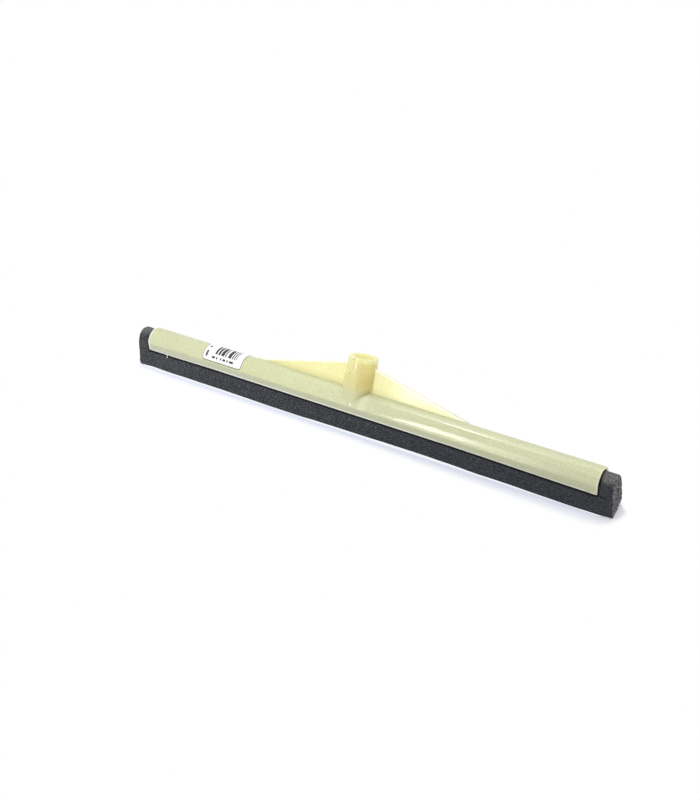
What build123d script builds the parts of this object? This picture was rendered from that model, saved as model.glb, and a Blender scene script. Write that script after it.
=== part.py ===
"""A floor squeegee head: a moulded channel with a leaning handle socket, a double foam blade and a paper label.

Millimetres. The floor is z = 0, +X runs along the blade and the socket leans back towards +Y.
"""

import os
from math import cos, radians, sin, tan

from build123d import *

os.makedirs("parts", exist_ok=True)

# Moulded channel, as its section in Y and Z
body_length = 524.0
wall = 2.3
lip_height = 19.8            # underside of the lips above the floor
lip_half_width = 12.1
lip_rounding = 0.6
skirt_height = 9.6           # from the lips up to the kinks, where the skirts turn into the dome
kink_half_width = 13.5
kink_rounding = 4.5
crease_rise = 9.6            # from the kinks up to the faint line on each side of the crown
crease_half_width = 6.0
crease_rounding = 6.0
crown_rise = 1.4             # from those lines up to the crown
shoulder_bulge = 1.0
grip_bead_radius = 0.9       # ridge inside each lip that bites into the foam
end_rounding = 0.5

# Handle socket: an oval foot on the channel and a round rim, leaning back
socket_lean = 16.0           # degrees from upright
socket_setback = 2.04        # axis behind the channel's middle, at the kinks' height
socket_reach = 44.66         # from the kinks' height to the rim, along the axis
rim_radius = 15.0
rim_rounding = 0.7
foot_half_length = 17.2      # of the oval foot, along the channel
foot_setback = 1.1           # the foot is flush with the front kink and overhangs the rear one
corbel_rise = 2.2            # above the lips, where the overhang runs back into the rear skirt
bore_radius = 11.75          # for a 23.5 mm handle
bore_floor = 1.5             # from the inside of the crown to the bore, along the axis

# Gusset webs, one each side of the socket, in the plane of its axis
web_thickness = 3.2
web_half_span = 121.5        # from the middle to each tip on the crown
web_rise = 24.5              # above the crown along the axis, where a web meets the socket
web_rounding = 0.6
root_rounding = 1.2          # where the webs run into the socket and the dome

# Foam blade: one strip with two lips and a round root, squeezed by the channel and free past its ends
foam_clearance = 0.2
blade_half_width = 12.5      # below the lips of the channel
floor_edge_rounding = 1.5
slit_width = 1.2
slit_height = 24.0
slit_offset = 2.0            # towards the rear, so the front lip is the thicker one
tear_length = 15.0           # of the rear lip's ragged corner at the right end
tear_height = 4.6
neck_relief = 0.8            # the foam necks in where it leaves the channel
free_waist_height = 12.0     # the free ends bulge from here up
free_spring_rise = 3.2       # above the channel's lips, where their round top springs
left_overhang = 13.0
left_floor_half_width = 13.5
left_half_width = 14.4
left_crown_drop = 1.8        # below the channel's crown
right_overhang = 16.2
right_floor_half_width = 12.9
right_half_width = 13.3
right_crown_drop = 2.5
right_cut_turn = 3.5         # degrees, the right end is cut askew in plan
right_cut_tilt = 5.4         # degrees, and leans in at the top

# Paper label, wrapped over the dome
label_width = 50.0
label_place = 0.2783         # its middle, as a share of the bare crown from the left web to the end
label_tilt = 30.0            # degrees, the label as a flat sheet seen from above and in front
label_front = 16.3           # from the crown down to its front edge, on that flat sheet
label_back = 6.0             # from the crown back to its rear edge, on that flat sheet
label_corner = 2.5
label_thickness = 0.15
label_glue = 0.05

half_length = body_length / 2
kink_height = lip_height + skirt_height
crease_height = kink_height + crease_rise
crown_height = crease_height + crown_rise
label_middle = -web_half_span - label_place * (half_length - web_half_span)
lean_sine = sin(radians(socket_lean))
lean_cosine = cos(radians(socket_lean))
socket_foot = (0, socket_setback, kink_height)
across_socket = Plane(origin=socket_foot, x_dir=(1, 0, 0), z_dir=(0, lean_sine, lean_cosine))
along_axis = Plane(origin=socket_foot, x_dir=(1, 0, 0), z_dir=(0, -lean_cosine, lean_sine))
facing_label = Plane(
    origin=(label_middle, 0, crown_height),
    x_dir=(1, 0, 0),
    z_dir=(0, -sin(radians(label_tilt)), cos(radians(label_tilt))),
)
crown_reach = (crown_height - kink_height) / lean_cosine
bore_bottom = (crown_height - wall - kink_height) / lean_cosine + bore_floor
skirt_slope = (kink_half_width - lip_half_width) / skirt_height


def skirt_half_width(height):
    """Half width of the channel's outer skin at a height on the skirt."""
    return kink_half_width - skirt_slope * (kink_height - height)


def channel_face(bottom, inset=0.0, rounded=False):
    """The channel's section as a full face down to a height, moved in from the outer skin by an inset."""
    foot = bottom - inset
    foot_half_width = skirt_half_width(foot)
    with BuildSketch(Plane.YZ) as section:
        with BuildLine():
            Line((-foot_half_width, foot), (-kink_half_width, kink_height))
            SagittaArc(
                (-kink_half_width, kink_height), (-crease_half_width, crease_height), shoulder_bulge
            )
            ThreePointArc(
                (-crease_half_width, crease_height), (0, crown_height), (crease_half_width, crease_height)
            )
            SagittaArc(
                (crease_half_width, crease_height), (kink_half_width, kink_height), shoulder_bulge
            )
            Line((kink_half_width, kink_height), (foot_half_width, foot))
            Line((foot_half_width, foot), (-foot_half_width, foot))
        make_face()
        if inset:
            offset(amount=-inset, kind=Kind.INTERSECTION)
        if rounded:
            by_width = section.vertices().group_by(Axis.X)
            fillet(by_width[0] + by_width[-1], kink_rounding)
            fillet(section.vertices().group_by(Axis.Y)[-1], crease_rounding)
            fillet(section.vertices().group_by(Axis.Y)[0], lip_rounding)
    return section.sketch


def grip_circles(radius):
    """Circles on the inner faces of the two lips, for the gripping ridges and for their grooves in the foam."""
    height = lip_height + grip_bead_radius
    half_width = skirt_half_width(height) - wall
    with BuildSketch(Plane.YZ) as circles:
        with Locations((-half_width, height), (half_width, height)):
            Circle(radius)
    return circles.sketch


def foam_face(x, side, crown):
    """A foam section at x, from the half widths and heights of one side and the height of its round top."""
    other_side = [(-y, z) for y, z in side]
    with BuildSketch(Plane.YZ.offset(x)) as section:
        with BuildLine():
            Polyline(*side)
            ThreePointArc(side[-1], (0, crown), other_side[-1])
            Polyline(*reversed(other_side))
            Line(other_side[0], side[0])
        make_face()
        fillet(section.vertices().group_by(Axis.Y)[0], floor_edge_rounding)
    return section.sketch


def squeezed_side():
    """Half widths and heights of the foam where it leaves the channel, narrow above the lips."""
    reduction = wall + foam_clearance + neck_relief
    neck_height = lip_height + wall
    spring_height = kink_height - wall
    return [
        (blade_half_width - neck_relief / 2, 0),
        (blade_half_width - neck_relief / 2, lip_height - neck_relief),
        (skirt_half_width(neck_height) - reduction, neck_height),
        (skirt_half_width(spring_height) - reduction, spring_height),
    ]


def free_side(floor_half_width, half_width):
    """Half widths and heights of a free foam end, widest under its round top."""
    return [
        (floor_half_width, 0),
        ((floor_half_width + half_width) / 2, free_waist_height),
        (half_width, lip_height),
        (half_width, lip_height + free_spring_rise),
    ]


# The oval socket before it is bored
with BuildPart() as socket_core:
    with BuildSketch(Plane.XY.offset(lip_height + corbel_rise)):
        Ellipse(foot_half_length - 2 * foot_setback, lip_half_width - wall / 2)
    with BuildSketch(Plane.XY.offset(kink_height)):
        with Locations((0, foot_setback)):
            Ellipse(foot_half_length, kink_half_width + foot_setback)
    with BuildSketch(across_socket.offset(socket_reach)):
        Circle(rim_radius)
    loft(ruled=True)
    fillet(socket_core.edges().sort_by(Axis.Z)[-1], rim_rounding)

# Both webs as one flat sheet that passes through the socket
with BuildPart() as web_core:
    with BuildSketch(along_axis):
        web_top = crown_reach + web_rise
        web_foot_half_span = web_half_span + wall * (web_half_span - rim_radius) / web_rise
        with BuildLine():
            Polyline(
                (-web_foot_half_span, crown_reach - wall),
                (-rim_radius, web_top),
                (rim_radius, web_top),
                (web_foot_half_span, crown_reach - wall),
                close=True,
            )
        make_face()
    extrude(amount=web_thickness / 2, both=True)
    fillet(web_core.edges().group_by(SortBy.LENGTH)[-2], web_rounding)

with BuildPart() as body:
    extrude(channel_face(lip_height, rounded=True), amount=half_length, both=True)
    ends = body.faces().filter_by(Axis.X)
    fillet(ends.edges(), end_rounding)
    add(socket_core.part)
    add(web_core.part)
    fillet(body.edges(Select.NEW), root_rounding)
    extrude(channel_face(lip_height - wall, inset=wall), amount=body_length, both=True, mode=Mode.SUBTRACT)
    extrude(grip_circles(grip_bead_radius), amount=half_length - end_rounding, both=True)
    with BuildSketch(across_socket.offset(bore_bottom)):
        Circle(bore_radius)
    extrude(amount=2 * socket_reach, mode=Mode.SUBTRACT)
    fillet(body.edges(Select.LAST).sort_by(Axis.Z)[-1], rim_rounding)
body.part.label = "channel_body"
export_step(body.part, "parts/channel_body.step")

with BuildPart() as blade:
    # The root, squeezed into the channel and grooved by its gripping ridges
    extrude(
        channel_face(lip_height - foam_clearance, inset=wall + foam_clearance), amount=half_length, both=True
    )
    extrude(
        grip_circles(grip_bead_radius + foam_clearance), amount=half_length, both=True, mode=Mode.SUBTRACT
    )
    # The lips below the channel
    with BuildSketch(Plane.YZ) as lips:
        with Locations((0, (lip_height - foam_clearance) / 2)):
            Rectangle(2 * blade_half_width, lip_height - foam_clearance)
        fillet(lips.vertices().group_by(Axis.Y)[0], floor_edge_rounding)
    extrude(amount=half_length, both=True)
    # The free ends, which swell past the channel; the right one is long enough for its slanted cut
    cut_allowance = kink_half_width * tan(radians(right_cut_turn))
    neck_crown = crown_height - wall - foam_clearance - neck_relief
    for end, reach, floor_half_width, half_width, crown_drop in (
        (-1, left_overhang, left_floor_half_width, left_half_width, left_crown_drop),
        (1, right_overhang + cut_allowance, right_floor_half_width, right_half_width, right_crown_drop),
    ):
        loft(
            [
                foam_face(end * half_length, squeezed_side(), neck_crown).face(),
                foam_face(
                    end * (half_length + reach),
                    free_side(floor_half_width, half_width),
                    crown_height - crown_drop,
                ).face(),
            ]
        )
    split(
        bisect_by=Plane(
            origin=(half_length + right_overhang, 0, 0),
            z_dir=(1, tan(radians(right_cut_turn)), tan(radians(right_cut_tilt))),
        ),
        keep=Keep.BOTTOM,
    )
    # The slit that parts the two lips, and the rear lip's missing corner
    with BuildSketch(Plane.YZ):
        with Locations((slit_offset, 0)):
            SlotOverall(2 * slit_height, slit_width, rotation=90)
    extrude(amount=body_length, both=True, mode=Mode.SUBTRACT)
    with BuildSketch(Plane.XZ.offset(-slit_offset)):
        tear_end = half_length + right_overhang + cut_allowance
        with BuildLine():
            Polyline(
                (tear_end - tear_length, 0), (tear_end, 0), (tear_end, tear_height), close=True
            )
        make_face()
    extrude(amount=-2 * kink_half_width, mode=Mode.SUBTRACT)
blade.part.label = "foam_blade"
export_step(blade.part, "parts/foam_blade.step")

with BuildPart() as paper:
    extrude(
        channel_face(lip_height, inset=-label_glue - label_thickness, rounded=True),
        amount=half_length,
        both=True,
    )
    extrude(
        channel_face(lip_height, inset=-label_glue, rounded=True),
        amount=body_length,
        both=True,
        mode=Mode.SUBTRACT,
    )
    with BuildSketch(facing_label):
        with Locations((0, (label_back - label_front) / 2)):
            RectangleRounded(label_width, label_front + label_back, label_corner)
    extrude(amount=crown_height - kink_height, both=True, mode=Mode.INTERSECT)
paper.part.label = "paper_label"
export_step(paper.part, "parts/paper_label.step")
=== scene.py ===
"""Looks of a floor squeegee head: a natural plastic channel, a black foam blade and a paper label."""

import math
from types import SimpleNamespace

import bpy
from mathutils import Matrix, Vector, noise


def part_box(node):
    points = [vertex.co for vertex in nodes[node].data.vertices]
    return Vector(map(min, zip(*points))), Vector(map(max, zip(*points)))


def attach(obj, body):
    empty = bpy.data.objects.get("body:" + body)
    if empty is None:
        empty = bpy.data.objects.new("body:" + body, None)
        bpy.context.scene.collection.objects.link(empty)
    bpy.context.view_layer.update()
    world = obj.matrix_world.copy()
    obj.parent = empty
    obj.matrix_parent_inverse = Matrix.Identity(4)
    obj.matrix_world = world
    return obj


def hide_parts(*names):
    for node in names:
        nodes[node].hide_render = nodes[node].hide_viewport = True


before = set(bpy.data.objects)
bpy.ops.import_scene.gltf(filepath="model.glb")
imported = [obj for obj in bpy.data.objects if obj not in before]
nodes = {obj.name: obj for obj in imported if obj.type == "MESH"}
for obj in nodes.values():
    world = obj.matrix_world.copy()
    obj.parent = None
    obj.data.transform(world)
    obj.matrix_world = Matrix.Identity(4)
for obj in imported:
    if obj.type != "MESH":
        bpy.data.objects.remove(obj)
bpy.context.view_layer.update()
scene = bpy.context.scene
MM = 0.001


def box_in_mm(node):
    """Lowest and highest corner of a CAD node."""
    return [[round(part / MM, 2) for part in corner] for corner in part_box(node)]


# Sizes of the solids that the looks have to follow, in millimetres
channel_low, channel_high = box_in_mm("channel_body")
label_low, label_high = box_in_mm("paper_label")
HALF_LENGTH = channel_high[0]
WALL = 2.3
LIP_HEIGHT = channel_low[2]
LIP_HALF_WIDTH = 12.1
KINK_HEIGHT = 29.4
KINK_HALF_WIDTH = 13.5
CROWN_HEIGHT = 40.4
CREASE_HALF_WIDTH = 6.0
DOME_SQUARE = 6.13            # the dome falls from crown to kinks as a square and a fourth power
DOME_FOURTH = 4.87
WEB_PEAK = 67.27              # height of the webs' top edges, carried on to the middle
WEB_SLOPE = 0.2211
SOCKET_LEAN = math.radians(16.0)
SOCKET_SETBACK = 2.04
SOCKET_REACH = 44.66
BORE_RADIUS = 11.75
LABEL_MIDDLE = (label_low[0] + label_high[0]) / 2
LABEL_HALF_WIDTH = (label_high[0] - label_low[0]) / 2
LABEL_FRONT = 16.3            # from the crown to the front edge, on the flat sheet as it faces forwards
LABEL_BACK = 6.0
LABEL_TILT = math.radians(30.0)
LABEL_CORNER = 2.5

# The lips hang deeper towards the ends: how far at most, where it starts and where it is reached
LIP_DROPS = {"left": (0.95, -160.0, -250.0), "right": (1.85, 100.0, 262.0)}


def smooth_step(low, high, value):
    share = min(max((value - low) / (high - low), 0.0), 1.0)
    return share * share * (3 - 2 * share)


def lip_drop(station):
    """How much deeper the lips hang at a place along the channel than in its middle."""
    return sum(most * smooth_step(start, end, station) for most, start, end in LIP_DROPS.values())


# Shader helpers: each adds one or a few nodes to a tree and returns the last one's output

def feed(tree, socket, value):
    """Links a socket to another node's output, or sets its value."""
    if isinstance(value, bpy.types.NodeSocket):
        tree.links.new(value, socket)
    else:
        socket.default_value = value


def add_math(tree, operation, first, second=0.0, third=0.0):
    node = tree.nodes.new("ShaderNodeMath")
    node.operation = operation
    for socket, value in zip(node.inputs, (first, second, third)):
        feed(tree, socket, value)
    return node.outputs[0]


def add_product(tree, first, *others):
    for other in others:
        first = add_math(tree, "MULTIPLY", first, other)
    return first


def add_distance(tree, value, place):
    """How far a value lies from a place, on either side."""
    return add_math(tree, "ABSOLUTE", add_math(tree, "SUBTRACT", value, place))


def add_reach(tree, first, second):
    """Length of the vector with these two parts."""
    squares = add_math(tree, "MULTIPLY_ADD", first, first, add_product(tree, second, second))
    return add_math(tree, "SQRT", squares)


def add_step(tree, value, low, high):
    """A smooth mask, 0 at low and 1 at high, which may lie either way round."""
    node = tree.nodes.new("ShaderNodeMapRange")
    node.interpolation_type = "SMOOTHSTEP"
    node.inputs["From Min"].default_value = low
    node.inputs["From Max"].default_value = high
    tree.links.new(value, node.inputs["Value"])
    return node.outputs["Result"]


def add_mix(tree, mask, first, second):
    node = tree.nodes.new("ShaderNodeMix")
    node.data_type = "RGBA"
    feed(tree, node.inputs["Factor"], mask)
    feed(tree, node.inputs[6], first)
    feed(tree, node.inputs[7], second)
    return node.outputs[2]


def add_noise(tree, place, scale, detail=2.0, roughness=0.5):
    node = tree.nodes.new("ShaderNodeTexNoise")
    feed(tree, node.inputs["Scale"], scale)
    node.inputs["Detail"].default_value = detail
    node.inputs["Roughness"].default_value = roughness
    tree.links.new(place, node.inputs["Vector"])
    return node.outputs["Fac"]


def add_cells(tree, place, scale):
    node = tree.nodes.new("ShaderNodeTexVoronoi")
    node.inputs["Scale"].default_value = scale
    tree.links.new(place, node.inputs["Vector"])
    return node.outputs["Distance"]


def add_mapping(tree, place, turn=(0.0, 0.0, 0.0), scale=(1.0, 1.0, 1.0)):
    node = tree.nodes.new("ShaderNodeMapping")
    node.inputs["Rotation"].default_value = turn
    node.inputs["Scale"].default_value = scale
    tree.links.new(place, node.inputs["Vector"])
    return node.outputs["Vector"]


def add_bump(tree, height, strength, distance, normal=None):
    node = tree.nodes.new("ShaderNodeBump")
    node.inputs["Strength"].default_value = strength
    node.inputs["Distance"].default_value = distance
    tree.links.new(height, node.inputs["Height"])
    if normal is not None:
        tree.links.new(normal, node.inputs["Normal"])
    return node.outputs["Normal"]


def object_place(tree):
    """Object coordinates and their three parts in millimetres."""
    place = tree.nodes.new("ShaderNodeTexCoord").outputs["Object"]
    parts = tree.nodes.new("ShaderNodeSeparateXYZ")
    tree.links.new(place, parts.inputs[0])
    return place, [add_product(tree, part, 1 / MM) for part in parts.outputs]


def add_spot(tree, parts, centre, reach):
    """1 at a point of the surface, fading out over a reach."""
    off = [add_math(tree, "SUBTRACT", part, value) for part, value in zip(parts, centre)]
    distance = add_reach(tree, add_reach(tree, off[0], off[1]), off[2])
    return add_step(tree, distance, reach, 0.3 * reach)


def add_above_lips(tree, x, z):
    """Height with the drop of the lips added, so that they lie level."""
    for most, start, end in LIP_DROPS.values():
        z = add_math(tree, "MULTIPLY_ADD", add_step(tree, x, start, end), most, z)
    return z


def new_material(name):
    material = bpy.data.materials.new(name)
    material.use_nodes = True
    return material, material.node_tree, material.node_tree.nodes["Principled BSDF"]


def srgb(red, green, blue):
    """A colour as it is seen, 0 to 255, as the linear values that shaders take."""
    linear = [c / 255 / 12.92 if c <= 10 else ((c / 255 + 0.055) / 1.055) ** 2.4 for c in (red, green, blue)]
    return (*linear, 1.0)


# Cloudiness and fine grain, shared by all three materials

MOTTLE_INPUTS = {"Cloud Scale": 60.0, "Grain Scale": 900.0, "Cloud Share": 0.5}
MOTTLE_TURN = (0.6, 0.45, 0.35)


def make_mottle():
    """A node group whose mask blends slow clouds and fine grain."""
    group = bpy.data.node_groups.new("cloud_and_grain", "ShaderNodeTree")
    for name, default in MOTTLE_INPUTS.items():
        socket = group.interface.new_socket(name, in_out="INPUT", socket_type="NodeSocketFloat")
        socket.default_value = default
    group.interface.new_socket("Mask", in_out="OUTPUT", socket_type="NodeSocketFloat")
    given = group.nodes.new("NodeGroupInput").outputs
    result = group.nodes.new("NodeGroupOutput").inputs
    place = group.nodes.new("ShaderNodeTexCoord").outputs["Object"]
    place = add_mapping(group, place, turn=MOTTLE_TURN)
    cloud = add_noise(group, place, given["Cloud Scale"], 3.0)
    grain = add_noise(group, place, given["Grain Scale"], 2.0)
    blended = group.nodes.new("ShaderNodeMix")
    group.links.new(given["Cloud Share"], blended.inputs["Factor"])
    group.links.new(grain, blended.inputs[2])
    group.links.new(cloud, blended.inputs[3])
    group.links.new(blended.outputs[0], result["Mask"])
    return group


mottle = make_mottle()


def add_mottle(tree, *values):
    """Places the group in a tree, with its cloud scale, grain scale and cloud share."""
    node = tree.nodes.new("ShaderNodeGroup")
    node.node_tree = mottle
    for name, value in zip(MOTTLE_INPUTS, values):
        node.inputs[name].default_value = value
    return node.outputs["Mask"]


# The moulding's plastic

LIGHT_THROUGH_WALL = (0.19, 0.185, 0.115, 1)
SOCKET_PITS = (((-2.3, -0.4, 74.6), 0.35), ((-4.8, -3.9, 60.4), 0.5))       # places and strengths
SOCKET_PIT_REACH = 1.3
# Painted glints on the socket's nose, where it meets the kink: places and strengths
NOSE_PAINTED_GLINTS = (((1.5, -13.0, 31.0), 0.9), ((-5.5, -12.2, 31.3), 0.35))
NOSE_GLINT_REACH = 1.7
SKIRT_SMUDGE = (-212.8, -13.0, 26.8)
SMUDGE_REACH = 1.2
SMUDGE_SQUASH = 0.25          # places along are squashed by this, so that the smudge is four times as long


def plastic_places(tree):
    """Places on the moulding and masks of its parts, which its tints and its finish share."""
    place, (x, y, z) = object_place(tree)
    at = SimpleNamespace(place=place, x=x, y=y, z=z)
    at.aside = add_math(tree, "ABSOLUTE", x)
    at.to_right = add_step(tree, x, -HALF_LENGTH, HALF_LENGTH)
    at.on_right = add_step(tree, x, -10.0, 10.0)

    # Height above the channel's dome
    across = add_math(tree, "DIVIDE", y, KINK_HALF_WIDTH)
    square = add_product(tree, across, across)
    drop = add_product(tree, square, add_math(tree, "MULTIPLY_ADD", square, DOME_FOURTH, DOME_SQUARE))
    at.rise = add_math(tree, "ADD", add_math(tree, "SUBTRACT", z, CROWN_HEIGHT), drop)
    at.free = add_step(tree, at.rise, 0.3, 1.3)

    # Place on the leaning socket: along its axis from the kinks' height, and out from its axis
    back = add_math(tree, "SUBTRACT", y, SOCKET_SETBACK)
    up = add_math(tree, "SUBTRACT", z, KINK_HEIGHT)
    along = add_product(tree, up, math.cos(SOCKET_LEAN))
    at.along = add_math(tree, "MULTIPLY_ADD", back, math.sin(SOCKET_LEAN), along)
    beside = add_product(tree, up, -math.sin(SOCKET_LEAN))
    at.beside = add_math(tree, "MULTIPLY_ADD", back, math.cos(SOCKET_LEAN), beside)
    at.from_axis = add_reach(tree, x, at.beside)
    at.near_rim = add_step(tree, at.along, SOCKET_REACH - 6.0, SOCKET_REACH - 2.0)
    at.on_rim = add_step(tree, at.along, SOCKET_REACH - 0.9, SOCKET_REACH - 0.4)
    at.in_bore = add_step(tree, at.from_axis, BORE_RADIUS + 0.8, BORE_RADIUS + 0.2)

    # The webs, and their top edges
    at.is_web = add_step(tree, at.aside, 15.5, 16.8)
    at.free_web = add_product(tree, at.is_web, at.free)
    web_top = add_math(tree, "MULTIPLY_ADD", at.aside, -WEB_SLOPE, WEB_PEAK)
    web_edge = add_step(tree, add_math(tree, "SUBTRACT", z, web_top), -1.6, -0.7)
    at.web_edge = add_product(tree, web_edge, at.is_web, at.free)
    at.cloudy = add_mottle(tree, 35.0, 1100.0, 0.12)
    return at


def channel_tint(tree, at):
    """The channel is dull over the foam and greyer on its skirts, where the foam touches it, with painted
    light and shade laid over that.
    """
    dome = srgb(221, 225, 186)
    # Painted light: lighter from the left web's end to the middle, standing for light that the clear web
    # passes on to the dome
    tint = add_mix(tree, add_step(tree, at.x, -HALF_LENGTH, -130.0), dome, srgb(227, 230, 188))
    tint = add_mix(tree, add_step(tree, at.x, -30.0, 30.0), tint, dome)
    # Darker low on the flank near the right end
    low_right_flank = add_product(tree, add_step(tree, at.x, 180.0, 225.0), add_step(tree, at.z, 35.8, 34.0))
    tint = add_mix(tree, low_right_flank, tint, srgb(212, 215, 179))
    # Painted light: paler in the corner right of the socket's foot, lit through the socket and web
    by_socket = add_step(tree, at.from_axis, 27.0, 17.0)
    painted_corner_light = add_product(tree, by_socket, add_step(tree, at.x, 8.0, 12.0), 0.45)
    tint = add_mix(tree, painted_corner_light, tint, srgb(250, 252, 218))

    # The skirts start lower on the right and at the left end
    lower = add_math(
        tree, "MAXIMUM", add_step(tree, at.x, 20.0, 90.0), add_step(tree, at.x, -200.0, -250.0)
    )
    skirt = add_step(tree, add_math(tree, "ADD", at.z, lower), KINK_HEIGHT - 0.2, KINK_HEIGHT - 2.4)
    # Painted shade: the skirts, greyer where the foam lies behind them, are darker towards the right end,
    # away from the window
    skirt_tint = add_mix(tree, at.to_right, srgb(207, 211, 184), srgb(200, 202, 171))
    tint = add_mix(tree, skirt, tint, skirt_tint)

    # Right of the socket a painted highlight runs along the creases and the kinks
    crease = add_step(tree, add_distance(tree, add_math(tree, "ABSOLUTE", at.y), CREASE_HALF_WIDTH), 1.1, 0.3)
    # Painted highlight along the crease
    painted_crease_highlight = add_product(
        tree, crease, add_step(tree, at.x, 20.0, 65.0), add_step(tree, at.x, 260.0, 180.0)
    )
    tint = add_mix(tree, painted_crease_highlight, tint, srgb(238, 242, 206))
    # Painted highlight along the kink, right of the socket
    kink = add_step(tree, add_distance(tree, at.z, KINK_HEIGHT - 0.6), 1.0, 0.3)
    wear_and_sheen = add_product(
        tree, kink, add_step(tree, at.x, 35.0, 70.0), add_step(tree, at.x, 225.0, 150.0), 0.6
    )
    return add_mix(tree, wear_and_sheen, tint, srgb(246, 249, 216))


def socket_tint(tree, at):
    """The socket clears up slowly from its foot to its thin rim; painted shade darkens its right side and
    painted light brightens it near the rim and in its mouth.
    """
    to_side = add_step(tree, at.x, -2.0, 13.0)
    # Painted shade: deeper yellow and, low down, darker on the right side, away from the lamps
    low = add_mix(tree, to_side, srgb(234, 226, 162), srgb(230, 216, 140))
    low = add_mix(tree, add_step(tree, at.along, 6.0, 20.0), srgb(221, 220, 177), low)
    high = add_mix(tree, to_side, srgb(246, 239, 176), srgb(249, 237, 162))
    tint = add_mix(tree, add_step(tree, at.along, 17.0, 40.0), low, high)
    # Painted shade: darker on the front right of the socket
    painted_front_shade = add_product(tree, add_step(tree, at.x, -2.0, 6.0), add_step(tree, at.x, 13.0, 8.0))
    painted_front_shade = add_product(tree, painted_front_shade, add_step(tree, at.along, 10.0, 20.0), 0.35)
    tint = add_mix(tree, painted_front_shade, tint, srgb(230, 219, 150))
    # Painted shade: darker still low on the right, in the corner with the web
    painted_foot_shade = add_product(tree, add_step(tree, at.x, 2.0, 13.0), add_step(tree, at.rise, 7.0, 0.5), 0.75)
    tint = add_mix(tree, painted_foot_shade, tint, srgb(186, 174, 106))
    # Painted light: paler near the rim, where light comes through the thin wall
    near_rim = add_mix(tree, add_step(tree, at.x, -2.0, 9.0), srgb(246, 240, 178), srgb(255, 250, 190))
    tint = add_mix(tree, at.near_rim, tint, near_rim)
    # Painted highlight: the rim is paler on the left, where light catches it
    rim = add_mix(tree, add_step(tree, at.x, -9.0, 3.0), srgb(255, 253, 226), srgb(248, 242, 184))
    tint = add_mix(tree, at.on_rim, tint, rim)
    # Painted light: the inside of the mouth is paler, lit through the wall
    return add_mix(tree, at.in_bore, tint, srgb(252, 246, 200))


def web_tint(tree, at):
    """The webs are clear nearly all over; painted shade darkens them where they run into the dome, and a
    painted reflection whitens the right web towards its end.
    """
    root = add_mix(tree, at.on_right, srgb(254, 248, 193), srgb(252, 247, 195))
    # Painted reflection: whiter towards the right web's end
    far = add_mix(tree, at.on_right, srgb(249, 245, 195), srgb(254, 251, 205))
    high = add_mix(tree, add_step(tree, at.aside, 35.0, 100.0), root, far)
    # Painted shade low on the webs, with a painted reflection towards the right web's end
    low = add_mix(tree, at.on_right, srgb(237, 231, 174), srgb(238, 233, 181))
    low = add_mix(tree, add_step(tree, at.x, 60.0, 105.0), low, srgb(248, 243, 192))
    return add_mix(tree, add_step(tree, at.rise, 0.5, 9.0), low, high)


def add_painted_edge_light(tree, at, tint):
    """Painted light on the thin edges, where light gathers: the lips, the cut ends and the webs' top edges.
    """
    lip = add_step(tree, add_above_lips(tree, at.x, at.z), LIP_HEIGHT + 2.4, LIP_HEIGHT + 1.6)
    tint = add_mix(tree, lip, tint, add_mix(tree, at.to_right, srgb(255, 255, 240), srgb(232, 234, 214)))
    left_end = add_step(tree, at.x, 2.6 - HALF_LENGTH, 1.4 - HALF_LENGTH)
    tint = add_mix(tree, left_end, tint, srgb(254, 254, 238))
    right_end = add_step(tree, at.x, HALF_LENGTH - 1.2, HALF_LENGTH - 0.6)
    tint = add_mix(tree, right_end, tint, srgb(255, 252, 220))
    # Painted shade: the rear edge of the left web's top is darker towards its end, and pale on the right
    rear = add_mix(tree, add_step(tree, at.aside, 85.0, 115.0), srgb(238, 230, 170), srgb(204, 199, 145))
    rear = add_mix(tree, at.on_right, srgb(255, 253, 220), rear)
    crest = add_mix(tree, add_step(tree, at.beside, -1.4, -0.6), srgb(255, 255, 236), rear)
    return add_mix(tree, at.web_edge, tint, crest)


def add_label_outline(tree, x, y, z):
    """A thin dark line around the paper label's edge."""
    sheet = add_product(tree, add_math(tree, "SUBTRACT", z, CROWN_HEIGHT), math.sin(LABEL_TILT))
    sheet = add_math(tree, "MULTIPLY_ADD", y, math.cos(LABEL_TILT), sheet)
    off_side = add_distance(tree, x, LABEL_MIDDLE)
    off_side = add_math(tree, "SUBTRACT", off_side, LABEL_HALF_WIDTH - LABEL_CORNER)
    off_front = add_math(tree, "SUBTRACT", LABEL_CORNER - LABEL_FRONT, sheet)
    past_side = add_math(tree, "MAXIMUM", off_side, 0.0)
    past_front = add_math(tree, "MAXIMUM", off_front, 0.0)
    inside = add_math(tree, "MINIMUM", add_math(tree, "MAXIMUM", off_side, off_front), 0.0)
    outside = add_math(tree, "ADD", add_reach(tree, past_side, past_front), inside)
    outside = add_math(tree, "SUBTRACT", outside, LABEL_CORNER)
    line = add_product(tree, add_step(tree, outside, -0.4, 0.0), add_step(tree, outside, 0.9, 0.3))
    return add_product(tree, line, add_step(tree, y, LABEL_BACK + 0.5, LABEL_BACK))


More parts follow.
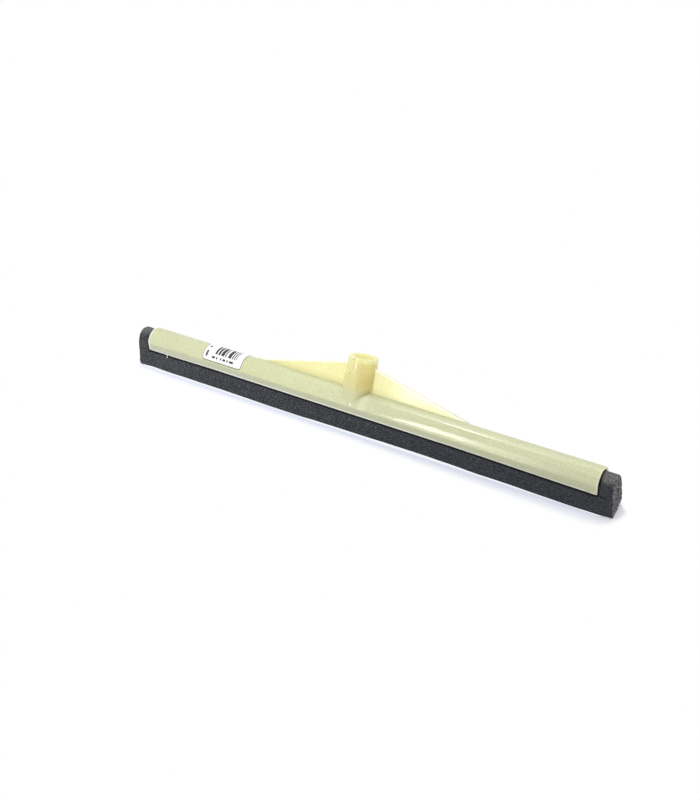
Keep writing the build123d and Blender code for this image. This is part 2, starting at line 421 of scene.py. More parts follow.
def add_plastic_marks(tree, at, tint):
    """Fine speckle, a dark line around the label, small marks from the mould and from use, and painted glints
    on the socket's nose.
    """
    speckle = add_math(tree, "MULTIPLY_ADD", at.free_web, -0.09, 0.26)
    speckled = add_mix(tree, speckle, tint, srgb(140, 135, 84))
    tint = add_mix(tree, add_step(tree, at.cloudy, 0.34, 0.66), speckled, tint)
    label_outline = add_product(tree, add_label_outline(tree, at.x, at.y, at.z), 0.9)
    tint = add_mix(tree, label_outline, tint, srgb(84, 82, 44))
    # The pits are the moulding's own; the nose's white spots are painted glints
    for marks, reach, colour in (
        (SOCKET_PITS, SOCKET_PIT_REACH, srgb(120, 104, 50)),
        (NOSE_PAINTED_GLINTS, NOSE_GLINT_REACH, srgb(255, 255, 246)),
    ):
        for centre, strength in marks:
            spot = add_product(tree, add_spot(tree, (at.x, at.y, at.z), centre, reach), strength)
            tint = add_mix(tree, spot, tint, colour)
    squashed = (add_product(tree, at.x, SMUDGE_SQUASH), at.y, at.z)
    centre = (SKIRT_SMUDGE[0] * SMUDGE_SQUASH, *SKIRT_SMUDGE[1:])
    smudge = add_product(tree, add_spot(tree, squashed, centre, SMUDGE_REACH), 0.35)
    return add_mix(tree, smudge, tint, srgb(140, 146, 140))


def plastic_roughness(tree, at):
    """Glossy, but rubbed dull on the front of the socket's lower part, on its rim and low on the right."""
    rubbed = add_product(tree, add_step(tree, at.along, 33.0, 28.0), add_step(tree, at.x, 11.0, 0.0))
    rubbed = add_product(tree, rubbed, at.free, add_step(tree, at.x, -16.0, -12.0))
    hazed = add_product(tree, add_step(tree, at.x, 95.0, 165.0), add_step(tree, at.z, 37.0, 35.0))
    roughness = add_math(tree, "MULTIPLY_ADD", at.cloudy, 0.08, 0.05)
    for mask, duller in ((rubbed, 0.42), (at.on_rim, 0.45), (hazed, 0.16)):
        roughness = add_math(tree, "MULTIPLY_ADD", mask, duller, roughness)
    return roughness


def light_through_wall(tree, at):
    """A painted glow that stands for daylight coming through the socket's wall and showing inside its mouth,
    and faintly in the webs.
    """
    in_mouth = add_product(tree, at.in_bore, add_step(tree, at.along, 18.0, SOCKET_REACH - 3.0))
    in_rim = add_product(tree, at.near_rim, add_step(tree, at.x, 2.0, 11.0), 0.3)
    in_web = add_math(tree, "MULTIPLY_ADD", at.web_edge, 0.25, add_product(tree, at.free_web, 0.03))
    through = add_math(tree, "MAXIMUM", add_math(tree, "MAXIMUM", in_mouth, in_rim), in_web)
    return add_mix(tree, through, (0, 0, 0, 1), LIGHT_THROUGH_WALL)


def natural_plastic():
    """Milky polypropylene: olive where the black foam lies behind it, cream yellow where it stands free."""
    material, tree, shader = new_material("natural_plastic")
    at = plastic_places(tree)
    free_tint = add_mix(tree, at.is_web, socket_tint(tree, at), web_tint(tree, at))
    tint = add_mix(tree, at.free, channel_tint(tree, at), free_tint)
    tint = add_painted_edge_light(tree, at, tint)
    tint = add_plastic_marks(tree, at, tint)
    tree.links.new(tint, shader.inputs["Base Color"])
    tree.links.new(plastic_roughness(tree, at), shader.inputs["Roughness"])
    waves = add_noise(tree, at.place, 90.0, 1.0)
    tree.links.new(add_bump(tree, waves, 0.13, 0.0002), shader.inputs["Normal"])
    tree.links.new(light_through_wall(tree, at), shader.inputs["Emission Color"])
    shader.inputs["Emission Strength"].default_value = 1.0
    shader.inputs["IOR"].default_value = 1.49
    shader.inputs["Subsurface Weight"].default_value = 0.7
    shader.inputs["Subsurface Radius"].default_value = (1.0, 0.95, 0.75)
    shader.inputs["Subsurface Scale"].default_value = 0.004
    return material


# Sizes of the foam blade, a strip with a slit that the channel squeezes, in millimetres

LEFT_END = -275.0
LEFT_FLOOR_HALF_WIDTH = 14.1
LEFT_HALF_WIDTH = 14.4
LEFT_CROWN = 38.7
LEFT_ROOT_CROWN = 36.7
LEFT_CORNER = 4.0             # rounding of the end's lower edge
LEFT_LEAN = 0.15              # how much the stub's top is turned up at its front
LEFT_LEAN_HEIGHTS = (22.0, 37.0)
LEFT_LEAN_BY = 0.6            # shares of the stub's length past the channel, below 0 inside it
LEFT_CROWN_FROM = -0.3
LIPS_FREE_FROM = -0.6
SWELL_START = 0.02
SWELL_POWER = 6               # how soon the foam swells once it is past the channel
RIGHT_END = 278.5
RIGHT_FLOOR_HALF_WIDTH = 12.9
RIGHT_SPLAY = 2.6             # how far the rear lip stands out at the floor
RIGHT_HALF_WIDTH = 13.3
RIGHT_CROWN = 36.8
RIGHT_TURN = math.tan(math.radians(5.5))
RIGHT_TILT = math.tan(math.radians(5.4))
RIGHT_CORNER = 2.2
TEAR_LENGTH = 15.0            # of the rear lip's lost corner
TEAR_HEIGHT = 3.9
TORN_BELOW = 24.0             # the rear lip is shortened from here down
BLADE_HALF_WIDTH = 12.5
ROOT_HALF_WIDTH = 8.6
ROOT_CROWN = 37.3
SPRING_HEIGHT = 23.0          # where the round top starts
FLOOR_ROUNDING = 1.0
LIP_FLARE = 1.2               # how far the rear lip stands out at the floor towards the ends
LIP_FLARE_PLACES = (30.0, 200.0)
FRONT_FLARE = (               # the same for the front lip, which is uneven: place along, stand-out
    (-275.0, 1.4), (-262.0, 2.0), (-240.0, 2.65), (-165.0, 2.35), (-92.0, 3.15), (-57.0, 3.0),
    (-35.0, 1.8), (20.0, 1.0), (50.0, 0.0), (75.0, -0.4), (105.0, 0.05), (150.0, 1.3),
    (170.0, 0.9), (237.0, 2.5), (264.0, 1.8), (280.0, 0.2),
)
SHOULDER = 2.2                # rounding where the foam turns in under the channel's lips
TUCK = 0.4                    # below the lips, where the foam is at its narrowest
REAR_POINTEDNESS = 0.1        # of the round top past the channel's ends; below 0 it is squarer
RIGHT_FRONT_POINTEDNESS = -0.14
LEFT_FRONT_POINTEDNESS = -0.03
TORN_REACH = 7.0              # how far from its cut ends the foam is torn
CUT_REACH = 0.6
LEFT_TORN_SHARE = 0.3         # the left end is torn less
FOAM_MIDDLE_HEIGHT = 17.0
LUMPS = ((0.17, 0.63), (0.5, 0.175))       # fineness and size, also of the three below
WANDER = (0.05, 0.18)
SWAY = (0.8, 0.12)
PITS = (0.5, 2.2)
PIT_REACH = 0.55
SWAY_SHIFTS = (Vector((0, 0, 0)), Vector((31.7, 0, 0)), Vector((0, 57.3, 0)))     # one for each direction

# Divisions of the foam's mesh; the slit's sides are places across, from -1 to 1
FRONT_COLUMNS = 28
REAR_COLUMNS = 19
ROWS = 46
LENGTHS = 150
LEFT_END_PLACES = 30          # close together, towards the free ends
RIGHT_END_PLACES = 36
END_SPACING = 0.55
SLIT_ROWS = 29
SLIT_FRONT = 0.127
SLIT_REAR = 0.236
SLIT_SHUT = 0.141             # rear side of the slit where the lips are pressed together
SLIT_OPENS = (225.0, 268.0)   # places along, on both sides, between which it opens


def black_foam():
    """Closed-cell foam rubber: a fine dark skin, and paler open cells where it is cut."""
    material, tree, shader = new_material("black_foam")
    place, (x, y, z) = object_place(tree)
    grain = add_mottle(tree, 150.0, 1050.0, 0.06)
    to_right = add_step(tree, x, LEFT_END, RIGHT_END)
    dark_skin = add_mix(tree, to_right, srgb(2, 3, 6), srgb(22, 24, 28))
    pale_skin = add_mix(tree, to_right, srgb(87, 90, 96), srgb(68, 71, 77))
    skin = add_mix(tree, add_step(tree, grain, 0.34, 0.66), dark_skin, pale_skin)

    # Pale dust specks, few and small
    specks = add_step(tree, add_cells(tree, place, 170.0), 0.15, 0.08)
    specks = add_product(tree, specks, add_math(tree, "MULTIPLY_ADD", to_right, -0.4, 0.5))
    skin = add_mix(tree, specks, skin, srgb(150, 150, 150))

    # Cut ends, which follow the same slants as the mesh
    slant = add_math(tree, "MULTIPLY_ADD", z, RIGHT_TILT, add_math(tree, "MULTIPLY_ADD", y, RIGHT_TURN, x))
    right_cut = add_step(tree, slant, RIGHT_END - 0.85, RIGHT_END - 0.25)
    left_cut = add_step(tree, x, LEFT_END + 1.0, LEFT_END + 0.4)
    cut = add_math(tree, "MAXIMUM", right_cut, left_cut)
    streaks = add_noise(tree, add_mapping(tree, place, scale=(1.0, 1.0, 0.5)), 950.0, 4.0, 0.75)
    light_cells = add_mix(tree, to_right, srgb(104, 104, 106), srgb(172, 170, 170))
    open_cells = add_mix(tree, add_step(tree, streaks, 0.4, 0.66), srgb(42, 41, 44), light_cells)

    # The stubs past the channel are scuffed on top, and the blade is paler towards its left end
    past = add_step(tree, add_math(tree, "ABSOLUTE", x), HALF_LENGTH + 0.2, HALF_LENGTH + 1.8)
    on_top = add_step(tree, add_math(tree, "MULTIPLY_ADD", to_right, 3.5, z), 33.0, 39.5)
    patches = add_step(tree, add_noise(tree, place, 950.0, 4.0, 0.7), 0.36, 0.66)
    paler_left = add_product(tree, add_step(tree, x, -170.0, -225.0), 0.07)
    tint = add_mix(tree, paler_left, skin, srgb(116, 118, 120))
    tint = add_mix(tree, add_product(tree, past, on_top, patches, 0.85), tint, srgb(146, 146, 145))
    tint = add_mix(tree, add_product(tree, cut, 0.9), tint, open_cells)

    # The squeezed foam turns in under the channel's lips, and painted shade darkens it there
    painted_lip_shadow = add_step(tree, add_above_lips(tree, x, z), LIP_HEIGHT - 2.6, LIP_HEIGHT - 1.2)
    painted_lip_shadow = add_product(tree, painted_lip_shadow, add_math(tree, "SUBTRACT", 1.0, past), 0.85)
    tint = add_mix(tree, painted_lip_shadow, tint, srgb(10, 11, 14))
    tree.links.new(tint, shader.inputs["Base Color"])

    tree.links.new(add_math(tree, "MULTIPLY_ADD", grain, 0.2, 0.75), shader.inputs["Roughness"])
    fine = add_bump(tree, grain, 0.5, 0.0004)
    pores = add_bump(tree, add_cells(tree, place, 560.0), 0.35, 0.0005, fine)
    tree.links.new(pores, shader.inputs["Normal"])
    shader.inputs["Specular IOR Level"].default_value = 0.25
    return material


# Fields of print: the way they run, width of a strip, share left blank, seed, reach along and across
PRINT_FIELDS = (
    ("along", 1.3, 0.45, 8.5, (-171.5, -143.5), (-8.6, 3.8)),
    ("along", 1.7, 0.35, 21.5, (-174.0, -146.0), (-11.8, -10.5)),
    ("across", 1.4, 0.3, 40.5, (-182.6, -180.4), (-11.6, 0.0)),
)
PRINT_BLUR = 0.12


def white_paper():
    """Matt adhesive paper with generic fields of bars and dashes, made by rule and standing for no code."""
    material, tree, shader = new_material("white_paper")
    _, (x, y, _) = object_place(tree)

    def between(value, low, high):
        inside = add_step(tree, value, low - PRINT_BLUR, low + PRINT_BLUR)
        return add_product(tree, inside, add_step(tree, value, high + PRINT_BLUR, high - PRINT_BLUR))

    def random_bars(value, width, blank, seed):
        """Dark where a fixed random value of the strip at this place is over a share."""
        strip = add_math(tree, "FLOOR", add_math(tree, "DIVIDE", value, width))
        source = tree.nodes.new("ShaderNodeTexWhiteNoise")
        source.noise_dimensions = "1D"
        tree.links.new(add_math(tree, "ADD", strip, seed), source.inputs["W"])
        return add_math(tree, "GREATER_THAN", source.outputs["Value"], blank)

    ink = 0.0
    for way, width, blank, seed, along, across in PRINT_FIELDS:
        bars = random_bars(x if way == "along" else y, width, blank, seed)
        bars = add_product(tree, bars, between(x, *along), between(y, *across))
        ink = add_math(tree, "MAXIMUM", bars, ink)

    fibres = add_mottle(tree, 220.0, 1500.0, 0.5)
    paper_tint = add_mix(tree, fibres, srgb(246, 247, 249), srgb(254, 254, 255))
    wear_and_sheen = add_product(tree, ink, add_math(tree, "MULTIPLY_ADD", fibres, 0.1, 0.92))
    tree.links.new(add_mix(tree, wear_and_sheen, paper_tint, srgb(22, 23, 32)), shader.inputs["Base Color"])
    tree.links.new(add_math(tree, "MULTIPLY_ADD", fibres, 0.2, 0.5), shader.inputs["Roughness"])
    tree.links.new(add_bump(tree, fibres, 0.15, 0.0002), shader.inputs["Normal"])
    return material


# Modelling helpers

FOAM_SMOOTH_BELOW = 55        # degrees that an edge turns by
PLASTIC_SMOOTH_BELOW = 40
SAME_PLACE = 0.001            # points closer than this, in millimetres, are one


def deselect():
    bpy.ops.object.select_all(action="DESELECT")


def start_edit(select_mode):
    """Leaves a piece with nothing selected, ready for a selection of one kind to be made in code."""
    bpy.ops.object.mode_set(mode="EDIT")
    bpy.ops.mesh.select_mode(type=select_mode)
    bpy.ops.mesh.select_all(action="DESELECT")
    bpy.ops.object.mode_set(mode="OBJECT")


def divide_along(piece, *cuts):
    """Divides a block that is 1 high along its height; a second number of cuts divides the parts again."""
    start_edit("EDGE")
    heights = [vertex.co.z for vertex in piece.data.vertices]
    for edge in piece.data.edges:
        first, second = edge.vertices
        edge.select = abs(heights[first] - heights[second]) > 0.5
    bpy.ops.object.mode_set(mode="EDIT")
    for count in cuts:
        bpy.ops.mesh.subdivide(number_cuts=count)
    bpy.ops.object.mode_set(mode="OBJECT")


def clean_mesh():
    """Makes one point of those that lie in the same place, and turns all faces outwards."""
    start_edit("FACE")
    bpy.ops.object.mode_set(mode="EDIT")
    bpy.ops.mesh.select_all(action="SELECT")
    bpy.ops.mesh.remove_doubles(threshold=SAME_PLACE * MM)
    bpy.ops.mesh.normals_make_consistent(inside=False)
    bpy.ops.object.mode_set(mode="OBJECT")


def finish_surface(piece, material, smooth_below):
    """Smooths edges that turn by less than an angle in degrees, and gives the piece its only material."""
    bpy.ops.object.shade_smooth_by_angle(angle=math.radians(smooth_below))
    piece.data.materials.clear()
    piece.data.materials.append(material)


# The foam blade

def foam_columns():
    """Places across the section, from -1 at the front to 1 at the rear; one column is the slit."""
    front = [-1 + (SLIT_FRONT + 1) * i / FRONT_COLUMNS for i in range(FRONT_COLUMNS + 1)]
    rear = [SLIT_REAR + (1 - SLIT_REAR) * i / REAR_COLUMNS for i in range(REAR_COLUMNS + 1)]
    return front + rear


def foam_stations():
    """Places along the blade, close together at the free ends."""
    left = [LEFT_END + END_SPACING * i for i in range(LEFT_END_PLACES)]
    right = [RIGHT_END - END_SPACING * i for i in reversed(range(RIGHT_END_PLACES))]
    steps = LENGTHS - (len(left) - 1) - (len(right) - 1)
    middle = [left[-1] + (right[0] - left[-1]) * i / steps for i in range(1, steps)]
    return left + middle + right


def side_half_width(height, lip_height, freedom, low_freedom, floor_half_width, half_width):
    """Half width of the blade at a height on its side, squeezed by the channel or free past its ends."""
    squeezed = BLADE_HALF_WIDTH
    into_lip = min(max((height - lip_height + SHOULDER) / (SHOULDER - TUCK), 0.0), 1.0)
    squeezed -= SHOULDER * (1 - math.sqrt(1 - into_lip**2))
    if height > lip_height - TUCK:
        squeezed = ROOT_HALF_WIDTH
    swell = min(height / LIP_HEIGHT, 1.0)
    free = floor_half_width + (half_width - floor_half_width) * swell
    share = max(low_freedom, freedom * smooth_step(LIP_HEIGHT - SHOULDER - 2, LIP_HEIGHT - TUCK, height))
    rounding = 0.0
    if height < FLOOR_ROUNDING:
        rounding = FLOOR_ROUNDING - math.sqrt(FLOOR_ROUNDING**2 - (FLOOR_ROUNDING - height) ** 2)
    return squeezed + (free - squeezed) * share - rounding


def front_flare(station):
    """How far the front lip stands out at the floor at a place along the blade."""
    for (first, start), (second, end) in zip(FRONT_FLARE, FRONT_FLARE[1:]):
        if station <= second:
            return start + (end - start) * smooth_step(first, second, station)
    return FRONT_FLARE[-1][1]


def foam_point(station, across, up):
    """A point of the foam, from its place along in millimetres and its place in the section."""
    in_rear_lip = across > (SLIT_FRONT + SLIT_REAR) / 2
    if in_rear_lip:
        inner = SLIT_SHUT + (SLIT_REAR - SLIT_SHUT) * smooth_step(*SLIT_OPENS, abs(station))
        across = 1 - (1 - across) * (1 - inner) / (1 - SLIT_REAR)

    # How far the foam has come out of the channel, and its sizes at that end
    right = station > 0
    overhang = (RIGHT_END if right else -LEFT_END) - HALF_LENGTH
    past = (abs(station) - HALF_LENGTH) / overhang
    freedom = 1 - (1 - min(max(past - SWELL_START, 0.0), 1.0)) ** SWELL_POWER
    low_freedom = smooth_step(LIPS_FREE_FROM, 1.0, past)
    if right:
        floor_half_width, half_width, corner = RIGHT_FLOOR_HALF_WIDTH, RIGHT_HALF_WIDTH, RIGHT_CORNER
        crown = ROOT_CROWN + (RIGHT_CROWN - ROOT_CROWN) * freedom
    else:
        floor_half_width, half_width, corner = LEFT_FLOOR_HALF_WIDTH, LEFT_HALF_WIDTH, LEFT_CORNER
        crown = LEFT_ROOT_CROWN + (LEFT_CROWN - LEFT_ROOT_CROWN) * smooth_step(LEFT_CROWN_FROM, 1.0, past)
    pointedness = RIGHT_FRONT_POINTEDNESS if right else LEFT_FRONT_POINTEDNESS
    if across > 0:
        pointedness = REAR_POINTEDNESS
        floor_half_width += RIGHT_SPLAY if right else 0.0
    lip_height = LIP_HEIGHT - lip_drop(station)

    def side(height):
        return side_half_width(height, lip_height, freedom, low_freedom, floor_half_width, half_width)

    # A patch stretched between the floor, the two sides and the round top
    turn = across * math.pi / 2
    power = 1.0 + pointedness * freedom
    round_out = math.copysign(abs(math.sin(turn)) ** power, across)
    round_up = max(math.cos(turn), 0.0) ** power
    floor = across * side(0.0)
    top = side(SPRING_HEIGHT) * round_out
    corners = across * ((1 - up) * side(0.0) + up * side(SPRING_HEIGHT))
    y = (1 - up) * floor + up * top + across * side(SPRING_HEIGHT * up) - corners
    z = up * (SPRING_HEIGHT + (crown - SPRING_HEIGHT) * round_up)
    if not right:
        z -= LEFT_LEAN * y * smooth_step(0.0, LEFT_LEAN_BY, past) * smooth_step(*LEFT_LEAN_HEIGHTS, z)

    # The head's weight spreads the lips on the floor
    flare = front_flare(station) if across < 0 else LIP_FLARE * smooth_step(*LIP_FLARE_PLACES, abs(station))
    y += across * flare * max(1 - z / LIP_HEIGHT, 0.0) ** 2

    # The rear lip has lost its lower corner at the right end
    tear = TEAR_HEIGHT * min(max((station - RIGHT_END + TEAR_LENGTH) / TEAR_LENGTH, 0.0), 1.0)
    if in_rear_lip and z < TORN_BELOW:
        z = tear + z * (TORN_BELOW - tear) / TORN_BELOW

    # The right end is cut askew, and both ends are rounded at the floor
    x = station
    if right and past > 0:
        x = HALF_LENGTH + past * (RIGHT_END - RIGHT_TURN * y - RIGHT_TILT * z - HALF_LENGTH)
    if past > 0:
        below = max(corner - z, 0.0)
        x -= math.copysign(past * (corner - math.sqrt(corner**2 - below**2)), station)
    return Vector((x, y, z))


def tear_surface(point, station):
    """How far torn cells and lumps move a point of the foam, most at the cut ends."""
    from_cut = (RIGHT_END - station) if station > 0 else (station - LEFT_END)
    rough = smooth_step(TORN_REACH, 0.0, from_cut) * (1.0 if station > 0 else LEFT_TORN_SHARE)
    at_cut = smooth_step(CUT_REACH, 0.0, from_cut)
    outward = Vector((0, point.y, point.z - FOAM_MIDDLE_HEIGHT)).normalized()
    along = Vector((1 if station > 0 else -1, 0, 0))
    direction = (outward * (1 - at_cut) + along * at_cut).normalized()
    lumps = sum(noise.noise(point * fineness) * size for fineness, size in LUMPS)
    nearest = noise.voronoi(point * PITS[0])[0][0]
    pit = -max(0.0, PIT_REACH - nearest) * PITS[1]
    wander = noise.noise(point * WANDER[0]) * WANDER[1]
    sway = Vector([noise.noise(point * SWAY[0] + shift) for shift in SWAY_SHIFTS]) * SWAY[1]
    return direction * (wander + rough * (lumps + pit * at_cut)) + sway * rough


def make_foam_blade(material):
    """The blade is a section with a slit, drawn out to a block of 1 by 1 by 1 and then shaped."""
    columns, stations = foam_columns(), foam_stations()
    last_column, last_station = len(columns) - 1, len(stations) - 1
    deselect()
    bpy.ops.mesh.primitive_grid_add(
        x_subdivisions=last_column, y_subdivisions=ROWS, size=1, location=(0.5, 0.5, 0)
    )
    foam = bpy.context.object
    foam.name = foam.data.name = "foam_blade_soft"
    bpy.ops.object.transform_apply(location=True, rotation=True, scale=True)
    start_edit("FACE")
    for face in foam.data.polygons:
        column = int(face.center.x * last_column)
        row = int(face.center.y * ROWS)
        face.select = column == FRONT_COLUMNS and row < SLIT_ROWS
    bpy.ops.object.mode_set(mode="EDIT")
    bpy.ops.mesh.delete(type="FACE")
    bpy.ops.mesh.select_all(action="SELECT")
    bpy.ops.mesh.extrude_region_move(TRANSFORM_OT_translate={"value": (0, 0, 1)})
    bpy.ops.object.mode_set(mode="OBJECT")
    divide_along(foam, last_station // 2 - 1, 1)

    for vertex in foam.data.vertices:
        across = columns[round(vertex.co.x * last_column)]
        station = stations[round(vertex.co.z * last_station)]
        point = foam_point(station, across, vertex.co.y)
        in_channel = abs(station) < HALF_LENGTH + 0.2 and point.z > LIP_HEIGHT - lip_drop(station) - 0.6
        if not in_channel:
            point += tear_surface(point, station)
        point.z = max(point.z, 0.0)
        vertex.co = point * MM
    clean_mesh()
    finish_surface(foam, material, FOAM_SMOOTH_BELOW)
    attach(foam, "root")
    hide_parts("foam_blade")


# Small pieces of the moulding that only the scene has

LIP_FLASHES = ((-236.0, 4.6, 0.85), (253.9, 1.9, 0.38))      # place along, length and half width
FLASH_PLACE = -12.7           # across the channel
FLASH_SINK = 0.9              # how far a sliver reaches up into the lip
FLASH_TURNS = (math.radians(-4), math.radians(5), 0)
FLASH_FLATNESS = 0.6
FLASH_ROUNDING = 0.12


def make_lip_flashes(material):
    """Thin slivers of moulding flash that hang from the front lip."""
    deselect()
    for along, length, half_width in LIP_FLASHES:
        bpy.ops.mesh.primitive_cone_add(
            vertices=12,
            radius1=FLASH_FLATNESS * half_width * MM,
            radius2=half_width * MM,
            depth=length * MM,
            location=(along * MM, FLASH_PLACE * MM, (LIP_HEIGHT + FLASH_SINK - length / 2) * MM),
            rotation=FLASH_TURNS,
        )
        flash = bpy.context.object
        flash.scale.y = FLASH_FLATNESS
        bpy.ops.object.transform_apply(location=True, rotation=True, scale=True)
        bpy.ops.object.mode_set(mode="EDIT")
        bpy.ops.mesh.select_all(action="SELECT")
        bpy.ops.mesh.bevel(offset=FLASH_ROUNDING * MM, segments=2)
        bpy.ops.object.mode_set(mode="OBJECT")
        flash.name = flash.data.name = "lip_flash_left" if along < 0 else "lip_flash_right"
        finish_surface(flash, material, PLASTIC_SMOOTH_BELOW)
        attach(flash, "root")
        deselect()


LIP_STRIP_CUTS = 39           # divisions along a strip
LIP_STRIP_SINK = 0.9          # how far a strip reaches up into the lip that carries it
LIP_STRIP_START = 0.15        # how far above the lip's edge its thin end lies, inside the lip
LIP_STRIP_PROUD = 0.06        # how far its faces stand off the lip's, so that they don't coincide


def make_lip_strip(material, end, side):
    """The part of a lip that hangs below the straight one towards an end of the channel."""
    most, start, _ = LIP_DROPS[end]
    outer = math.copysign(HALF_LENGTH - LIP_STRIP_PROUD, start)
    outward = -1 if side == "front" else 1
    skirt_slope = (KINK_HALF_WIDTH - LIP_HALF_WIDTH) / (KINK_HEIGHT - LIP_HEIGHT)
    deselect()
    bpy.ops.mesh.primitive_cylinder_add(vertices=20, radius=1, depth=1, location=(0, 0, 0.5))
    strip = bpy.context.object
    strip.name = strip.data.name = f"lip_strip_{side}_{end}"
    bpy.ops.object.transform_apply(location=True, rotation=True, scale=True)
    divide_along(strip, LIP_STRIP_CUTS)

    # The round section becomes a rounded oblong that leans with the skirt
    top = LIP_HEIGHT + LIP_STRIP_SINK
    for vertex in strip.data.vertices:
        along = start + (outer - start) * vertex.co.z
        bottom = LIP_HEIGHT + LIP_STRIP_START - lip_drop(along) * (most + LIP_STRIP_START) / most
        across, up = (math.copysign(math.sqrt(abs(part)), part) for part in vertex.co.xy)
        z = (bottom + top) / 2 + up * (top - bottom) / 2
        middle = LIP_HALF_WIDTH - WALL / 2 + skirt_slope * (z - LIP_HEIGHT)
        y = outward * (middle + across * (WALL / 2 + LIP_STRIP_PROUD))
        vertex.co = Vector((along, y, z)) * MM
    clean_mesh()
    finish_surface(strip, material, PLASTIC_SMOOTH_BELOW)
    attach(strip, "root")
    deselect()


# The studio

AMBIENT = 0.76
FLOOR_SIZE = 24.0
WHITE = (1, 1, 1, 1)
BLACK = (0, 0, 0, 1)

# Near the object the floor takes a share of the lamps' light, shadow and all, and glows with the rest
SHADOW_TAKES_LEFT = (1.15, 0.88, 0.36, 1)
SHADOW_LEAVES_LEFT = (0.0, 0.23, 0.72, 1)
SHADOW_TAKES_RIGHT = (0.94, 0.91, 0.66, 1)
SHADOW_LEAVES_RIGHT = (0.12, 0.16, 0.41, 1)
END_TAKES = (0.94, 0.93, 0.86, 1)
END_LEAVES = (0.12, 0.13, 0.21, 1)
# Right at the foot the floor takes less and glows nearly white: a painted pale strip that keeps the shadow
# off it
CONTACT_TAKES = (0.3, 0.28, 0.2, 1)
CONTACT_LEAVES = (0.77, 0.8, 0.86, 1)
CONTACT_REACH = (18.2, 16.2)  # from the middle line, in millimetres: where it starts and is full
SHADOW_REACH = (19.0, 30.0)   # the same for the shadow's fading out

# An upright window from the floor up, a ceiling lamp, and a wide soft ceiling behind:
# name, place, aim, size and power
LAMPS = (
    ("window_front_left", (-0.4175, -1.12, 0.385), (0, 0, 0.385), (0.175, 0.69), 4.0),
    ("ceiling_lamp", (-0.40, -0.035, 1.30), (0, 0, 0.02), (0.34, 0.10), 1.0),
    ("ceiling_rear", (-0.3, 0.7, 1.7), (0, 0, 0.02), (1.4, 0.9), 6.0),
)


def add_seen(tree):
    """1 for what the camera sees, also by way of gloss or glass, and 0 for what only lights the object."""
    path = tree.nodes.new("ShaderNodeLightPath").outputs
    seen = add_math(tree, "MAXIMUM", path["Is Camera Ray"], path["Is Glossy Ray"])
    return add_math(tree, "MAXIMUM", seen, path["Is Transmission Ray"])


def add_either(tree, mask, first, second):
    """One of two surfaces, by a mask."""
    node = tree.nodes.new("ShaderNodeMixShader")
    tree.links.new(mask, node.inputs[0])
    tree.links.new(first, node.inputs[1])
    tree.links.new(second, node.inputs[2])
    return node.outputs[0]


def floor_colours(tree):
    """What the floor takes of the lamps' light and how it glows: a cool shadow that fades out to white."""
    _, (x, y, _) = object_place(tree)
    past_left = add_math(tree, "SUBTRACT", -HALF_LENGTH, x)
    behind = add_math(tree, "MAXIMUM", add_math(tree, "SUBTRACT", y, 4.0), 0.0)
    fading = add_math(tree, "MULTIPLY_ADD", behind, 0.08, 1.6)
    past_right = add_product(tree, add_math(tree, "SUBTRACT", x, HALF_LENGTH + 3.0), fading)
    past = add_math(tree, "MAXIMUM", add_math(tree, "MAXIMUM", past_left, past_right), 0.0)
    reach = add_reach(tree, past, y)
    to_right = add_step(tree, x, -HALF_LENGTH, HALF_LENGTH)
    beyond = add_step(tree, x, HALF_LENGTH, HALF_LENGTH + 14.0)
    close = add_step(tree, add_math(tree, "MULTIPLY_ADD", to_right, 2.0, reach), *CONTACT_REACH)
    wider = add_math(tree, "MAXIMUM", add_product(tree, x, 0.03), 0.0)
    wider = add_math(tree, "MULTIPLY_ADD", add_step(tree, x, -225.0, -265.0), -3.0, wider)
    far = add_step(tree, add_math(tree, "SUBTRACT", reach, wider), *SHADOW_REACH)
    colours = []
    for left, right, end, contact, away in (
        (SHADOW_TAKES_LEFT, SHADOW_TAKES_RIGHT, END_TAKES, CONTACT_TAKES, BLACK),
        (SHADOW_LEAVES_LEFT, SHADOW_LEAVES_RIGHT, END_LEAVES, CONTACT_LEAVES, WHITE),
    ):
        colour = add_mix(tree, to_right, left, right)
        colour = add_mix(tree, beyond, colour, end)
        colour = add_mix(tree, close, colour, contact)
        colours.append(add_mix(tree, far, colour, away))
    return colours


def make_floor():
    """A floor that is white to the camera, but for the shadow, and pale grey to the object."""
    deselect()
    bpy.ops.mesh.primitive_plane_add(size=FLOOR_SIZE)
    floor = bpy.context.object
    floor.name = "studio_floor"
    material, tree, principled = new_material("studio_floor")
    tree.nodes.remove(principled)
    plain = tree.nodes.new("ShaderNodeBsdfDiffuse")
    plain.inputs["Color"].default_value = (0.8, 0.8, 0.8, 1)
    shadowed = tree.nodes.new("ShaderNodeBsdfDiffuse")
    glow = tree.nodes.new("ShaderNodeEmission")
    takes, leaves = floor_colours(tree)
    tree.links.new(takes, shadowed.inputs["Color"])
    tree.links.new(leaves, glow.inputs["Color"])
    both = tree.nodes.new("ShaderNodeAddShader")
    tree.links.new(shadowed.outputs[0], both.inputs[0])
    tree.links.new(glow.outputs[0], both.inputs[1])
    surface = add_either(tree, add_seen(tree), plain.outputs[0], both.outputs[0])

    # From below the floor is clear, so that the foam's lips can be seen
    below = tree.nodes.new("ShaderNodeNewGeometry").outputs["Backfacing"]
    clear = tree.nodes.new("ShaderNodeBsdfTransparent").outputs[0]
    surface = add_either(tree, below, surface, clear)
    tree.links.new(surface, tree.nodes["Material Output"].inputs["Surface"])
    floor.data.materials.append(material)


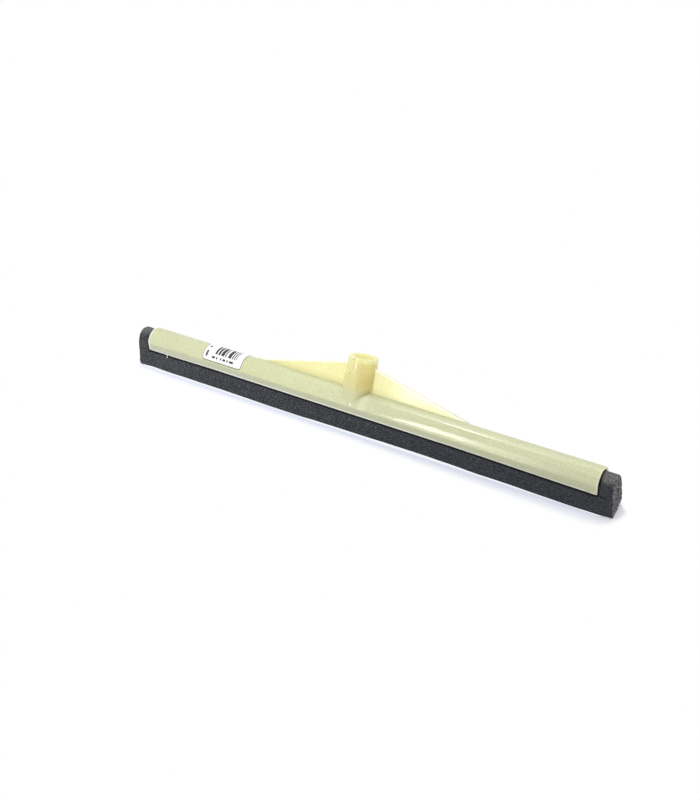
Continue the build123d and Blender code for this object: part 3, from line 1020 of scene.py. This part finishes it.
def make_world():
    """A surround that is white to the camera and lights the object a little less."""
    world = bpy.data.worlds.new("studio_world")
    scene.world = world
    world.use_nodes = True
    tree = world.node_tree
    background = tree.nodes["Background"]
    background.inputs["Color"].default_value = WHITE
    strength = add_math(tree, "MULTIPLY_ADD", add_seen(tree), 1.0 - AMBIENT, AMBIENT)
    tree.links.new(strength, background.inputs["Strength"])


def make_lamps():
    """The lamps, each turned towards its aim."""
    for name, place, aim, size, power in LAMPS:
        lamp = bpy.data.lights.new(name, "AREA")
        lamp.shape = "RECTANGLE"
        lamp.size, lamp.size_y = size
        lamp.energy = power
        holder = bpy.data.objects.new(name, lamp)
        scene.collection.objects.link(holder)
        holder.location = place
        holder.rotation_euler = (Vector(aim) - Vector(place)).to_track_quat("-Z", "Y").to_euler()


CAMERA_AZIMUTH = math.radians(32.8792)
CAMERA_ELEVATION = math.radians(28.7233)
CAMERA_ROLL = math.radians(0.3572)
CAMERA_PLACE = (0.55067, -0.86259, 0.59051)
CAMERA_LENS = 52.7004
CAMERA_SENSOR = 36


def make_camera():
    """The photograph's viewing angle and distance."""
    level = Vector((math.cos(CAMERA_AZIMUTH), math.sin(CAMERA_AZIMUTH), 0))
    forward = Vector((-math.sin(CAMERA_AZIMUTH), math.cos(CAMERA_AZIMUTH), 0))
    back = Vector((0, 0, math.sin(CAMERA_ELEVATION))) - math.cos(CAMERA_ELEVATION) * forward
    upward = back.cross(level)
    right = math.cos(CAMERA_ROLL) * level + math.sin(CAMERA_ROLL) * upward
    top = math.cos(CAMERA_ROLL) * upward - math.sin(CAMERA_ROLL) * level
    camera = bpy.data.objects.new("camera", bpy.data.cameras.new("camera"))
    scene.collection.objects.link(camera)
    pose = Matrix((right, top, back)).transposed().to_4x4()
    pose.translation = CAMERA_PLACE
    camera.matrix_world = pose
    camera.data.sensor_width = CAMERA_SENSOR
    camera.data.lens = CAMERA_LENS
    scene.camera = camera


plastic = natural_plastic()
foam_material = black_foam()
paper = white_paper()
for node, material in (("channel_body", plastic), ("paper_label", paper)):
    for material_slot in nodes[node].material_slots:
        material_slot.material = material
make_foam_blade(foam_material)
make_lip_flashes(plastic)
for end in LIP_DROPS:
    for side in ("front", "rear"):
        make_lip_strip(plastic, end, side)
make_floor()
make_world()
make_lamps()
make_camera()
scene.view_settings.view_transform = "Standard"
